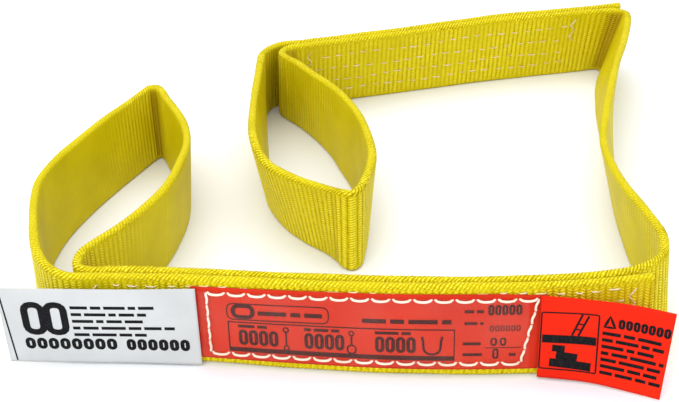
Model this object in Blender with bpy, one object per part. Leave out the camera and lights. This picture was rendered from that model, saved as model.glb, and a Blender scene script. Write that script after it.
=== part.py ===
"""An eye-and-eye flat web sling, standing on the edge of its webbing in an open U.

One strip of heavy webbing makes the whole sling. Each end is folded back on the outside of the
body to leave an eye, and sewn down as a two-ply splice. The strip is stored here as stretches:
the splices, the span between them, and the legs and turns of the eyes, so that it can hinge.

Metres, +Z up. The foot of the webbing stands on z = 0. The front splice runs along X with its
label facing -Y, the span goes back along +Y on the right, and the back splice runs along X.
"""

import math

import bmesh
import bpy
from mathutils import Vector

MM = 0.001

WEB_WIDTH = 50.8 * MM
WEB_THICKNESS = 4.8 * MM
PLY_PITCH = 5.2 * MM
FINE_STEP = 0.5 * MM
LONG_STEP = 6.0 * MM
TURN_STEP = 1.7 * MM
SEAM = 0.4 * MM
EYE_HINGE_GAP = 2.4 * MM
SPAN_HINGE_GAP = 3.2 * MM

THREAD_RADIUS = 0.35 * MM
THREAD_GAP = 0.3 * MM
THREAD_ROWS = 5
THREAD_STEP = 9.0 * MM
THREAD_LOW = 0.12
THREAD_HIGH = 0.88
THREAD_END_INSET = 8.0 * MM

SHEET_GAP = 0.3 * MM
LABEL_START = 49.0 * MM
LABEL_END = 219.0 * MM
LABEL_LOW = 0.09
LABEL_HIGH = 0.92
LABEL_THICKNESS = 0.4 * MM
FILM_MARGIN = 3.0 * MM
FILM_THICKNESS = 0.2 * MM
LABEL_THREAD_RADIUS = 0.4 * MM
LABEL_THREAD_INSET = 6.0 * MM
LABEL_THREAD_MARGIN = 0.07
LABEL_THREAD_CLOSING_GAP = 0.03
SHEET_STEP = 9.0 * MM

LEAF_THICKNESS = 0.5 * MM
LEAF_ROOT_GAP = 1.5 * MM
FLAP_LOW = 1.5 * MM
FLAP_HIGH = 45.0 * MM
TAG_LOW = 1.0 * MM
TAG_HIGH = 46.0 * MM

# The middle of the footprint, in millimetres on the route's own axes. It becomes the origin.
FOOTPRINT_CENTRE = (18.3, 8.9)

# A route point is the middle of the webbing's foot, x and y, and how far its head stands from
# its foot in x and y, all in millimetres. The strip starts at the front splice's cut end, and a
# splice's points are the seam between its two plies.
FRONT_SPLICE = [
    (146, -143, 0, 4),
    (110, -146.5, 0, 4),
    (70, -147, 0, 4),
    (25, -144.5, 0, 3.5),
    (-25, -138, 0, 2),
    (-80, -129.5, 0, 0),
    (-110, -126, 0, -1),
    (-121, -125.1, 0, -1.5),
]
FRONT_EYE_OUTER_LEG = [
    (-130.5, -127.2, 0, -1.5),
    (-137, -124.2, 0, -1.2),
    (-143.5, -117.5, 0, -1),
    (-149.5, -107, 0, -0.5),
    (-155, -93, 1, 0),
    (-160, -74, 2, 0),
    (-161.5, -55, 0.5, 0),
    (-160, -38, -2, 0),
    (-155.5, -17, -1.5, 0),
    (-147.5, 4, -1, 0),
    (-136, 29.5, -1, 0),
    (-124, 53, 0, 0),
]
FRONT_EYE_FAR_TURN = [
    (-117.5, 65.5, 0, 0),
    (-114.5, 70, 0, 0),
    (-110, 70, 0, 0),
    (-107, 65, 0.5, 0),
]
FRONT_EYE_INNER_LEG = [
    (-104, 56, 1, 0),
    (-99, 43, 2, 0),
    (-92.5, 22, 3.5, 0),
    (-90, 1, 4.5, 0),
    (-92, -24, 4.5, 0),
    (-97.2, -49, 4.5, 0),
    (-106, -69, 4, -1),
    (-115, -86, 2.5, -1),
    (-122.5, -98, 1, -1),
]
FRONT_EYE_THROAT_TURN = [
    (-127.3, -107, 0, -1),
    (-128.6, -114, 0, -1.5),
    (-127, -119.5, 0, -1.5),
]
FRONT_CORNER = [
    (126, -142.5, -0.5, 4),
    (139, -139.5, -1, 4),
    (150, -134, -2, 4),
    (158, -126, -3, 3),
    (162, -115, -4, 1),
]
SPAN_FRONT_HALF = [
    (163, -104, -4, 0),
    (161.5, -83, -6, 0),
    (159.5, -60, -9, 0),
    (160, -35, -12, 0),
    (161.5, -8, -13, 0),
    (165, 27, -8, 0),
]
SPAN_BACK_HALF = [
    (168.7, 66, 0, 0),
    (171, 95, 7, 0),
    (174.5, 122, 13, 0),
]
BACK_CORNER = [
    (178, 143, 16, 0),
    (182, 158, 15.5, -2),
    (186, 169, 13, -5),
    (187.5, 176.5, 11, -7),
    (184, 181, 8, -8.5),
]
BACK_SPLICE = [
    (170, 182, 3, -9),
    (150, 178.5, 2, -9),
    (114, 172, 2, -8),
    (78, 164.5, 2, -9),
    (43, 156.5, 2, -10.5),
    (0, 146.5, 2, -10.5),
    (-15, 142.8, 2, -10),
    (-24, 140.4, 2, -10),
]
BACK_SPLICE_CUT_END = (195, 187, 2, -9)
BACK_EYE_THROAT_TURN = [
    (-31, 135.5, 2, -9.5),
    (-36, 130, 2, -9),
    (-36, 124, 1.5, -8),
    (-31.5, 117, 0.5, -8),
]
BACK_EYE_INNER_LEG = [
    (-26, 110, 0.5, -7.5),
    (-15, 92, 0.5, -7.5),
    (-5, 71, 3, -6),
    (2.5, 47.5, 5.5, -4),
    (9, 27, 4.5, -2),
    (13.5, 2, 4, 0),
    (13.8, -22, 5, 0),
    (12.4, -38, 3.5, 0),
]
BACK_EYE_FAR_TURN = [
    (10.8, -49, 2, 0),
    (9.3, -55.5, 1, 0),
    (6.2, -58.8, 0.5, -1),
    (2.4, -56.5, 0, -2),
    (0, -51.5, -2, -5),
]
BACK_EYE_OUTER_LEG = [
    (-6, -43, -5.5, -7),
    (-18, -31, -7.5, -8.5),
    (-30, -15, -10, -8),
    (-39, 5, -9, -2),
    (-42.5, 25, -7.5, 0),
    (-45, 50, -5, 0),
    (-47, 80, -2, 0),
    (-48.5, 105, 0.5, -3),
    (-49, 122, 2, -6.5),
    (-45, 134, 3.5, -8),
]
BACK_OUTER_PLY_START = [(-35.5, 141.3, 2.5, -9.5)]

FLAP_ROUTE = [
    (92, -154.9, 0, 3.2),
    (116, -160.2, 0, 6.5),
    (133, -167.5, 3, 9.5),
    (147, -174.2, 5.8, 9.6),
]
TAG_ROUTE = [
    (-69, -138.6, 0, -0.5),
    (-105, -135.6, 0, -2.6),
    (-134, -134, 0, -2.4),
    (-165, -131.7, 0, -2.6),
]

YELLOW = (0.83, 0.72, 0.02, 1.0)
RED = (0.85, 0.06, 0.02, 1.0)
CLEAR = (0.95, 0.9, 0.88, 0.3)
WHITE = (0.85, 0.86, 0.88, 1.0)
CREAM = (0.93, 0.85, 0.7, 1.0)


def clear_scene():
    for old in list(bpy.data.objects):
        bpy.data.objects.remove(old, do_unlink=True)


def new_collection(name):
    collection = bpy.data.collections.new(name)
    bpy.context.scene.collection.children.link(collection)
    return collection


def make_material(name, colour, roughness):
    material = bpy.data.materials.new(name)
    material.use_nodes = True
    shader = material.node_tree.nodes["Principled BSDF"]
    shader.inputs["Base Color"].default_value = colour
    shader.inputs["Roughness"].default_value = roughness
    shader.inputs["Alpha"].default_value = colour[3]
    return material


def metres(points):
    """Route points in metres, with the footprint's middle moved to the origin."""
    centre_x, centre_y = FOOTPRINT_CENTRE
    return [
        ((x - centre_x) * MM, (y - centre_y) * MM, lean_x * MM, lean_y * MM)
        for x, y, lean_x, lean_y in points
    ]


def plan_left(points, index):
    """The unit vector across the strip in plan, to the left of the way it runs."""
    before = points[max(index - 1, 0)]
    after = points[min(index + 1, len(points) - 1)]
    run = Vector((after[0] - before[0], after[1] - before[1])).normalized()
    return Vector((-run.y, run.x))


def moved_left(points, distance):
    moved = []
    for index, (x, y, lean_x, lean_y) in enumerate(points):
        across = plan_left(points, index) * distance
        moved.append((x + across.x, y + across.y, lean_x, lean_y))
    return moved


def between(a, b, start, end, t):
    return a * ((end - t) / (end - start)) + b * ((t - start) / (end - start))


def catmull_rom(points, knots, t):
    """The point at t on the smooth curve between the second and third of four points."""
    for width in (1, 2, 3):
        pairs = range(len(points) - 1)
        if width == 3:
            return between(points[0], points[1], knots[1], knots[2], t)
        points = [
            between(points[i], points[i + 1], knots[i], knots[i + width], t) for i in pairs
        ]


class Route:
    """A smooth plan route through control points, read by the distance along it."""

    def __init__(self, controls):
        controls = [Vector(control) for control in controls]
        padded = [2 * controls[0] - controls[1], *controls, 2 * controls[-1] - controls[-2]]
        self.stations = [controls[0]]
        self.travelled = [0.0]
        self.control_distances = [0.0]
        for index in range(1, len(controls)):
            four = padded[index - 1 : index + 3]
            knots = [0.0]
            for a, b in zip(four, four[1:]):
                knots.append(knots[-1] + math.sqrt((b.xy - a.xy).length))
            count = max(2, math.ceil((four[2].xy - four[1].xy).length / FINE_STEP))
            for number in range(1, count + 1):
                t = knots[1] + (knots[2] - knots[1]) * number / count
                self.add(catmull_rom(four, knots, t))
            self.control_distances.append(self.travelled[-1])

    def add(self, station):
        self.travelled.append(self.travelled[-1] + (station.xy - self.stations[-1].xy).length)
        self.stations.append(station)

    def index_at(self, distance):
        index = 1
        while index < len(self.travelled) - 1 and self.travelled[index] < distance:
            index += 1
        return index

    def station(self, distance):
        index = self.index_at(distance)
        start, end = self.travelled[index - 1 : index + 1]
        return between(self.stations[index - 1], self.stations[index], start, end, distance)

    def left(self, distance):
        return plan_left(self.stations, self.index_at(distance))

    def place(self, distance, height_share, offset):
        """The point this far along, this share of the way up, and this far left of the middle."""
        x, y, lean_x, lean_y = self.station(distance)
        across = self.left(distance) * offset
        rise = math.sqrt(WEB_WIDTH**2 - lean_x**2 - lean_y**2)
        foot = Vector((x + across.x, y + across.y, 0.0))
        return foot + Vector((lean_x, lean_y, rise)) * height_share


def spaced(start, end, step):
    count = max(1, math.ceil((end - start) / step))
    return [start + (end - start) * number / count for number in range(count + 1)]


def add_mesh_node(mesh_data, name, material, collection):
    bmesh.ops.recalc_face_normals(mesh_data, faces=mesh_data.faces)
    mesh = bpy.data.meshes.new(name)
    mesh_data.to_mesh(mesh)
    mesh_data.free()
    mesh.materials.append(material)
    node = bpy.data.objects.new(name, mesh)
    collection.objects.link(node)
    return node


def strip(name, route, distances, offsets, heights, material, collection):
    """A solid band on the route, between two offsets across it and two shares of its height."""
    grid = bmesh.new()
    columns = len(distances)
    bmesh.ops.create_grid(grid, x_segments=columns - 1, y_segments=1, size=0.5)
    foot = sorted(grid.verts, key=lambda vert: (round(vert.co.x, 6), vert.co.y))
    places = [(distance, offset) for distance in distances for offset in offsets]
    grid.verts.index_update()
    place_of = {vert.index: place for vert, place in zip(foot, places)}
    extruded = bmesh.ops.extrude_face_region(grid, geom=grid.faces[:], use_keep_orig=True)
    head = [item for item in extruded["geom"] if isinstance(item, bmesh.types.BMVert)]
    twins = sorted(head, key=lambda vert: (round(vert.co.x, 6), vert.co.y))
    for low, high in zip(foot, twins):
        distance, offset = place_of[low.index]
        low.co = route.place(distance, heights[0], offset)
        high.co = route.place(distance, heights[1], offset)
    return add_mesh_node(grid, name, material, collection)


def thread(name, points, radius, material, collection):
    """A single round thread through the points, with closed ends."""
    curve = bpy.data.curves.new(name, "CURVE")
    curve.dimensions = "3D"
    curve.bevel_depth = radius
    curve.bevel_resolution = 0
    curve.use_fill_caps = True
    spline = curve.splines.new("POLY")
    spline.points.add(len(points) - 1)
    for spline_point, point in zip(spline.points, points):
        spline_point.co = (*point, 1.0)
    curve.materials.append(material)
    node = bpy.data.objects.new(name, curve)
    collection.objects.link(node)
    return node


def splice_thread_points(route, start, end):
    """Rows of stitching up and down the ply, run as one line from row to row."""
    offset = WEB_THICKNESS / 2 + THREAD_GAP + THREAD_RADIUS
    points = []
    for row in range(THREAD_ROWS):
        height = THREAD_LOW + (THREAD_HIGH - THREAD_LOW) * row / (THREAD_ROWS - 1)
        distances = spaced(start, end, THREAD_STEP)
        if row % 2:
            distances.reverse()
        points += [route.place(distance, height, offset) for distance in distances]
    return points


def label_thread_points(route, start, end, offset):
    """Once around the label, just inside its edge."""
    low = LABEL_LOW + LABEL_THREAD_MARGIN
    high = LABEL_HIGH - LABEL_THREAD_MARGIN
    there = spaced(start, end, SHEET_STEP)
    points = [route.place(distance, low, offset) for distance in there]
    points += [route.place(distance, high, offset) for distance in reversed(there)]
    points.append(route.place(start, low + LABEL_THREAD_CLOSING_GAP, offset))
    return points


def leaf(name, controls, low, high, material, collection):
    """A free sheet that hangs from one sewn edge."""
    route = Route(metres(controls))
    distances = spaced(LEAF_ROOT_GAP, route.travelled[-1], SHEET_STEP)
    half = LEAF_THICKNESS / 2
    heights = (low / WEB_WIDTH, high / WEB_WIDTH)
    strip(name, route, distances, (-half, half), heights, material, collection)


def webbing_stretches():
    """Each stretch's name, control points, step and the gap before it, in order along the strip."""
    half = PLY_PITCH / 2
    front = metres(FRONT_SPLICE)
    back = metres(BACK_SPLICE)
    back_outer = [*back[:0:-1], *metres([BACK_SPLICE_CUT_END])]
    back_outer = metres(BACK_OUTER_PLY_START) + moved_left(back_outer, half)
    front_inner = moved_left(front[:0:-1], half)
    return [
        ("front_splice_outer_ply", moved_left(front, half), LONG_STEP, 0.0),
        ("front_eye_outer_leg", metres(FRONT_EYE_OUTER_LEG), LONG_STEP, EYE_HINGE_GAP),
        ("front_eye_far_turn", metres(FRONT_EYE_FAR_TURN), TURN_STEP, SEAM),
        ("front_eye_inner_leg", metres(FRONT_EYE_INNER_LEG), LONG_STEP, SEAM),
        ("front_eye_throat_turn", metres(FRONT_EYE_THROAT_TURN), TURN_STEP, SEAM),
        ("front_splice_inner_ply", front_inner, LONG_STEP, EYE_HINGE_GAP),
        ("front_corner", metres(FRONT_CORNER), LONG_STEP / 2, SEAM),
        ("span_front_half", metres(SPAN_FRONT_HALF), LONG_STEP, SPAN_HINGE_GAP),
        ("span_back_half", metres(SPAN_BACK_HALF), LONG_STEP, SPAN_HINGE_GAP),
        ("back_corner", metres(BACK_CORNER), LONG_STEP / 2, SEAM),
        ("back_splice_inner_ply", moved_left(back, half), LONG_STEP, SEAM),
        ("back_eye_throat_turn", metres(BACK_EYE_THROAT_TURN), TURN_STEP, EYE_HINGE_GAP),
        ("back_eye_inner_leg", metres(BACK_EYE_INNER_LEG), LONG_STEP, SEAM),
        ("back_eye_far_turn", metres(BACK_EYE_FAR_TURN), TURN_STEP, SEAM),
        ("back_eye_outer_leg", metres(BACK_EYE_OUTER_LEG), LONG_STEP / 2, SEAM),
        ("back_splice_outer_ply", back_outer, LONG_STEP, EYE_HINGE_GAP),
    ]


def build_webbing(yellow, collection):
    """Makes every stretch of the strip. Returns its route and where each stretch starts and ends."""
    stretches = webbing_stretches()
    route = Route([control for _, controls, _, _ in stretches for control in controls])
    first_control = 0
    cuts = []
    for _, controls, _, _ in stretches:
        cuts.append(route.control_distances[first_control])
        first_control += len(controls)
    cuts.append(route.travelled[-1])
    gaps = [gap for _, _, _, gap in stretches] + [0.0]
    half = WEB_THICKNESS / 2
    spans = {}
    for index, (name, _, step, _) in enumerate(stretches):
        start = cuts[index] + gaps[index] / 2
        end = cuts[index + 1] - gaps[index + 1] / 2
        spans[name] = (start, end)
        strip(name, route, spaced(start, end, step), (-half, half), (0, 1), yellow, collection)
    return route, spans


def build_splice_threads(route, spans, cream, collection):
    plies = {
        "front_splice_face_thread": "front_splice_outer_ply",
        "front_splice_rear_thread": "front_splice_inner_ply",
        "back_splice_face_thread": "back_splice_inner_ply",
        "back_splice_rear_thread": "back_splice_outer_ply",
    }
    for name, ply in plies.items():
        start, end = spans[ply]
        points = splice_thread_points(route, start + THREAD_END_INSET, end - THREAD_END_INSET)
        thread(name, points, THREAD_RADIUS, cream, collection)


def build_label(route, red, clear, cream, collection):
    near = WEB_THICKNESS / 2 + THREAD_GAP + 2 * THREAD_RADIUS + SHEET_GAP
    far = near + LABEL_THICKNESS
    heights = (LABEL_LOW, LABEL_HIGH)
    distances = spaced(LABEL_START, LABEL_END, SHEET_STEP)
    strip("rating_label", route, distances, (near, far), heights, red, collection)
    near = far + SHEET_GAP
    far = near + FILM_THICKNESS
    distances = spaced(LABEL_START + FILM_MARGIN, LABEL_END - FILM_MARGIN, SHEET_STEP)
    strip("label_cover_film", route, distances, (near, far), heights, clear, collection)
    offset = far + THREAD_GAP + LABEL_THREAD_RADIUS
    start = LABEL_START + LABEL_THREAD_INSET
    end = LABEL_END - LABEL_THREAD_INSET
    points = label_thread_points(route, start, end, offset)
    thread("label_stitch_thread", points, LABEL_THREAD_RADIUS, cream, collection)


def main():
    clear_scene()
    collection = new_collection("flat_web_sling")
    yellow = make_material("yellow_webbing", YELLOW, 0.75)
    red = make_material("red_label", RED, 0.5)
    clear = make_material("clear_film", CLEAR, 0.15)
    white = make_material("white_tag", WHITE, 0.5)
    cream = make_material("cream_thread", CREAM, 0.6)
    route, spans = build_webbing(yellow, collection)
    build_splice_threads(route, spans, cream, collection)
    build_label(route, red, clear, cream, collection)
    leaf("warning_flap", FLAP_ROUTE, FLAP_LOW, FLAP_HIGH, red, collection)
    leaf("info_tag", TAG_ROUTE, TAG_LOW, TAG_HIGH, white, collection)


main()
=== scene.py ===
"""The look of the flat web sling: ribbed webbing, sewn splices, printed label, flap and tag."""

import math

import bmesh
import bpy
import numpy as np
from mathutils import Matrix, Vector


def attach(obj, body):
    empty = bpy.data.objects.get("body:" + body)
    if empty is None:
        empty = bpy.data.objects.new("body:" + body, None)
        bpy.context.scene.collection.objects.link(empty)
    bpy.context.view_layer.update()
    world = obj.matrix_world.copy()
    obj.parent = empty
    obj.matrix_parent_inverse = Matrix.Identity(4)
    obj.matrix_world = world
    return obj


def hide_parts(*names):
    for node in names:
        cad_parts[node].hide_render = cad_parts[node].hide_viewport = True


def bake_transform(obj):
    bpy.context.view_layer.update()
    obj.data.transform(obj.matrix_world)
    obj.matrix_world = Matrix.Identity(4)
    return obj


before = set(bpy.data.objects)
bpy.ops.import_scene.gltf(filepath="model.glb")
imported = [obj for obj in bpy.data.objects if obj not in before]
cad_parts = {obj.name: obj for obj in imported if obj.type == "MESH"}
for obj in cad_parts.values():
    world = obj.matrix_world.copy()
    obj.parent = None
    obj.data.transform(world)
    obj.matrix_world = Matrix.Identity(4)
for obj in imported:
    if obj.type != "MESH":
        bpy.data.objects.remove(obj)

MM = 0.001

# The middle of the footprint on the route's own axes, in millimetres: the row frame's origin.
FOOTPRINT_CENTRE = (18.3, 8.9)

# The webbing's section and how far apart the two plies of a splice lie, in millimetres.
WEB_WIDTH = 50.8
WEB_THICKNESS = 4.7
EDGE_RADIUS = 2.1
PLY_PITCH = 5.2

# The weave: ribs across the strip, slanted yarns in them, and loops and beads along its edges.
# RIB_FULLNESS is the power that rounds a rib's cosine. EDGE_CALM is the share of their depth that
# the edge loops keep where the ribs are flat.
RIB_PITCH = 3.1
RIB_DEPTH = 0.26
RIB_FULLNESS = 0.42
YARN_PITCH = 1.55
YARN_DEPTH = 0.12
YARN_LEAN = 0.9
LOOPS_PER_RIB = 1.5
LOOP_LEAN = 0.34
BEAD_PITCH = 2.3
EDGE_DEPTH = 0.5
EDGE_FADE = 4.5
EDGE_CALM = 0.4
WOBBLE_DEPTH = 0.25

# How a bend, in 1/mm, opens the ribs on its outer side and paints brown shade on its inner side.
BEND_SLACK = 0.08
STRETCH_GAIN = 14
CREASE_SHADE_GAIN = 9

# How finely the meshes are cut.
ROUTE_STEP = 0.5
HEADING_STATIONS = 7
STATIONS_PER_RIB = 6
FACE_COLUMNS = 64
EDGE_COLUMNS = 11
LEAF_STEP = 1.5
PRINT_STEP = 3

# The stitches of the splices: their thread, and how they stand on and dive into the webbing.
SPLICE_THREAD_RADIUS = 0.36
STITCH_RISE = 0.75
STITCH_SINK = 0.9
STITCH_LENGTH = 4.4
STITCH_PITCH = 8.8
ROW_STAGGER = 2.3
ZIGZAG_STITCHES = 4
ZIGZAG_LOW = 28
ZIGZAG_STEP = 4.5
FRONT_STITCH_ROWS = (11.2, 20.4, 29.6, 38.8, 46)
BACK_STITCH_ROWS = (11.2, 20.3, 29.5, 40)

# The rating label: distances along the route, heights on the webbing, and its offset from the
# middle of the splice's outer ply. Its left end is the one further along the route.
LABEL_START = 49.0
LABEL_END = 219.0
LABEL_LOW = 4.6
LABEL_HIGH = 46.7
LABEL_OFFSET = 3.3
LABEL_THICKNESS = 0.35
FILM_THICKNESS = 0.12
LABEL_THREAD_RADIUS = 0.6

# The flap and the tag, and how far the shift of a leaf's upper corner fades out along it.
LEAF_THICKNESS = 0.5
CORNER_REACH = 24.0

CAMERA_PLACE = (0.0, -620.0, 392.0)
CAMERA_PITCH = 31.8
CAMERA_ROLL = 1.5
CAMERA_LENS = 66.3

# A route point is the middle of the webbing's foot, x and y, and how far its head stands from
# its foot in x and y, all in millimetres, as in the CAD part.
FRONT_SPLICE = [
    (146, -143, 0, 4),
    (110, -146.5, 0, 4),
    (70, -147, 0, 4),
    (25, -144.5, 0, 3.5),
    (-25, -138, 0, 2),
    (-80, -129.5, 0, 0),
    (-110, -126, 0, -1),
    (-121, -125.1, 0, -1.5),
]
FRONT_EYE_OUTER_LEG = [
    (-130.5, -127.2, 0, -1.5),
    (-137, -124.2, 0, -1.2),
    (-143.5, -117.5, 0, -1),
    (-149.5, -107, 0, -0.5),
    (-155, -93, 1, 0),
    (-160, -74, 2, 0),
    (-161.5, -55, 0.5, 0),
    (-160, -38, -2, 0),
    (-155.5, -17, -1.5, 0),
    (-147.5, 4, -1, 0),
    (-136, 29.5, -1, 0),
    (-124, 53, 0, 0),
]
FRONT_EYE_FAR_TURN = [
    (-117.5, 65.5, 0, 0),
    (-114.5, 70, 0, 0),
    (-110, 70, 0, 0),
    (-107, 65, 0.5, 0),
]
FRONT_EYE_INNER_LEG = [
    (-104, 56, 1, 0),
    (-99, 43, 2, 0),
    (-92.5, 22, 3.5, 0),
    (-90, 1, 4.5, 0),
    (-92, -24, 4.5, 0),
    (-97.2, -49, 4.5, 0),
    (-106, -69, 4, -1),
    (-115, -86, 2.5, -1),
    (-122.5, -98, 1, -1),
]
FRONT_EYE_THROAT_TURN = [
    (-127.3, -107, 0, -1),
    (-128.6, -114, 0, -1.5),
    (-127, -119.5, 0, -1.5),
]
FRONT_CORNER = [
    (126, -142.5, -0.5, 4),
    (139, -139.5, -1, 4),
    (150, -134, -2, 4),
    (158, -126, -3, 3),
    (162, -115, -4, 1),
]
SPAN_FRONT_HALF = [
    (163, -104, -4, 0),
    (161.5, -83, -6, 0),
    (159.5, -60, -9, 0),
    (160, -35, -12, 0),
    (161.5, -8, -13, 0),
    (165, 27, -8, 0),
]
SPAN_BACK_HALF = [
    (168.7, 66, 0, 0),
    (171, 95, 7, 0),
    (174.5, 122, 13, 0),
]
BACK_CORNER = [
    (178, 143, 16, 0),
    (182, 158, 15.5, -2),
    (186, 169, 13, -5),
    (187.5, 176.5, 11, -7),
    (184, 181, 8, -8.5),
]
BACK_SPLICE = [
    (170, 182, 3, -9),
    (150, 178.5, 2, -9),
    (114, 172, 2, -8),
    (78, 164.5, 2, -9),
    (43, 156.5, 2, -10.5),
    (0, 146.5, 2, -10.5),
    (-15, 142.8, 2, -10),
    (-24, 140.4, 2, -10),
]
BACK_SPLICE_CUT_END = (195, 187, 2, -9)
BACK_EYE_THROAT_TURN = [
    (-31, 135.5, 2, -9.5),
    (-36, 130, 2, -9),
    (-36, 124, 1.5, -8),
    (-31.5, 117, 0.5, -8),
]
BACK_EYE_INNER_LEG = [
    (-26, 110, 0.5, -7.5),
    (-15, 92, 0.5, -7.5),
    (-5, 71, 3, -6),
    (2.5, 47.5, 5.5, -4),
    (9, 27, 4.5, -2),
    (13.5, 2, 4, 0),
    (13.8, -22, 5, 0),
    (12.4, -38, 3.5, 0),
]
BACK_EYE_FAR_TURN = [
    (10.8, -49, 2, 0),
    (9.3, -55.5, 1, 0),
    (6.2, -58.8, 0.5, -1),
    (2.4, -56.5, 0, -2),
    (0, -51.5, -2, -5),
]
BACK_EYE_OUTER_LEG = [
    (-6, -43, -5.5, -7),
    (-18, -31, -7.5, -8.5),
    (-30, -15, -10, -8),
    (-39, 5, -9, -2),
    (-42.5, 25, -7.5, 0),
    (-45, 50, -5, 0),
    (-47, 80, -2, 0),
    (-48.5, 105, 0.5, -3),
    (-49, 122, 2, -6.5),
    (-45, 134, 3.5, -8),
]
BACK_OUTER_PLY_START = [(-35.5, 141.3, 2.5, -9.5)]

FLAP_ROUTE = [
    (92, -154.9, 0, 3.2),
    (116, -160.2, 0, 6.5),
    (133, -167.5, 3, 9.5),
    (147, -174.2, 5.8, 9.6),
]
TAG_ROUTE = [
    (-69, -138.6, 0, -0.5),
    (-105, -135.6, 0, -2.6),
    (-134, -134, 0, -2.4),
    (-165, -131.7, 0, -2.6),
]


# ---------------------------------------------------------------- routes

def plan_left(points, index):
    """The unit vector to the left of the route at one of its points, seen from above."""
    before = points[max(index - 1, 0)]
    after = points[min(index + 1, len(points) - 1)]
    run = Vector((after[0] - before[0], after[1] - before[1])).normalized()
    return Vector((-run.y, run.x))


def moved_left(points, distance):
    """The route points of a ply that lies so far to the left of the given ones."""
    moved = []
    for index, (x, y, lean_x, lean_y) in enumerate(points):
        across = plan_left(points, index) * distance
        moved.append((x + across.x, y + across.y, lean_x, lean_y))
    return moved


def catmull_rom(points, knots, t):
    """Points at the times t on the smooth curve between the second and third of four points."""
    t = t[:, None]
    points = list(points)
    for width in (1, 2, 3):
        if width == 3:
            span = knots[2] - knots[1]
            return (points[0] * (knots[2] - t) + points[1] * (t - knots[1])) / span
        points = [
            (points[i] * (knots[i + width] - t) + points[i + 1] * (t - knots[i]))
            / (knots[i + width] - knots[i])
            for i in range(len(points) - 1)
        ]


class Route:
    """A smooth plan route through control points in millimetres, read by distance along it."""

    def __init__(self, controls):
        centre = np.array([*FOOTPRINT_CENTRE, 0, 0])
        controls = [np.array(control, float) - centre for control in controls]
        padded = [2 * controls[0] - controls[1], *controls, 2 * controls[-1] - controls[-2]]
        runs = [controls[0][None, :]]
        counts = [0]
        for index in range(1, len(controls)):
            four = padded[index - 1 : index + 3]
            knots = [0.0]
            for a, b in zip(four, four[1:]):
                knots.append(knots[-1] + math.sqrt(np.hypot(*(b - a)[:2])))
            steps = max(2, math.ceil(np.hypot(*(four[2] - four[1])[:2]) / ROUTE_STEP))
            t = np.linspace(knots[1], knots[2], steps + 1)[1:]
            runs.append(catmull_rom(four, knots, t))
            counts.append(counts[-1] + steps)
        self.stations = np.concatenate(runs)
        hops = np.hypot(*np.diff(self.stations[:, :2], axis=0).T)
        self.travelled = np.concatenate([[0.0], np.cumsum(hops)])
        self.control_distances = self.travelled[counts]
        self.length = self.travelled[-1]
        directions = np.gradient(self.stations[:, :2], axis=0)
        heading = np.unwrap(np.arctan2(directions[:, 1], directions[:, 0]))
        kernel = np.ones(HEADING_STATIONS) / HEADING_STATIONS
        padded_heading = np.pad(heading, HEADING_STATIONS // 2, mode="edge")
        self.heading = np.convolve(padded_heading, kernel, mode="valid")
        self.bend = np.gradient(self.heading, self.travelled)

    def read(self, distances):
        """Foot points, head-from-foot vectors, run and left unit vectors, and the bend, 1/mm."""
        values = [np.interp(distances, self.travelled, c) for c in self.stations.T]
        foot = np.stack([values[0], values[1], np.zeros_like(values[0])], 1)
        rise = np.sqrt(WEB_WIDTH**2 - values[2] ** 2 - values[3] ** 2)
        up = np.stack([values[2], values[3], rise], 1)
        heading = np.interp(distances, self.travelled, self.heading)
        run = np.stack([np.cos(heading), np.sin(heading), np.zeros_like(heading)], 1)
        left = np.cross(up, run)
        left /= np.linalg.norm(left, axis=1)[:, None]
        return foot, up, run, left, np.interp(distances, self.travelled, self.bend)

    def place(self, distances, heights, offsets):
        """Points in metres: this far along, this high up the width in mm, this far to the left."""
        distances = np.atleast_1d(np.asarray(distances, float))
        foot, up, _, left, _ = self.read(distances)
        heights = np.broadcast_to(heights, distances.shape)[:, None]
        offsets = np.broadcast_to(offsets, distances.shape)[:, None]
        return (foot + up * heights / WEB_WIDTH + left * offsets) * MM


def webbing_route():
    """The whole strip's route, and the distance along it where each stretch starts."""
    half = PLY_PITCH / 2
    back_outer = [*BACK_SPLICE[:0:-1], BACK_SPLICE_CUT_END]
    stretches = {
        "front_outer_ply": moved_left(FRONT_SPLICE, half),
        "front_outer_leg": FRONT_EYE_OUTER_LEG,
        "front_far_turn": FRONT_EYE_FAR_TURN,
        "front_inner_leg": FRONT_EYE_INNER_LEG,
        "front_throat": FRONT_EYE_THROAT_TURN,
        "front_inner_ply": moved_left(FRONT_SPLICE[:0:-1], half),
        "front_corner": FRONT_CORNER,
        "span_front": SPAN_FRONT_HALF,
        "span_back": SPAN_BACK_HALF,
        "back_corner": BACK_CORNER,
        "back_inner_ply": moved_left(BACK_SPLICE, half),
        "back_throat": BACK_EYE_THROAT_TURN,
        "back_inner_leg": BACK_EYE_INNER_LEG,
        "back_far_turn": BACK_EYE_FAR_TURN,
        "back_outer_leg": BACK_EYE_OUTER_LEG,
        "back_outer_ply": BACK_OUTER_PLY_START + moved_left(back_outer, half),
    }
    route = Route([control for controls in stretches.values() for control in controls])
    starts = {}
    first = 0
    for name, controls in stretches.items():
        starts[name] = route.control_distances[first]
        first += len(controls)
    starts["end"] = route.length
    return route, starts


# ---------------------------------------------------------------- meshes

def mesh_object(name, vertices, faces, material, smooth=True):
    """A new object in the scene, made of vertices in metres and faces."""
    mesh = bpy.data.meshes.new(name)
    mesh.from_pydata(vertices, [], faces)
    mesh.polygons.foreach_set("use_smooth", [smooth] * len(mesh.polygons))
    mesh.materials.append(material)
    mesh.update()
    piece = bpy.data.objects.new(name, mesh)
    bpy.context.scene.collection.objects.link(piece)
    return piece


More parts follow.
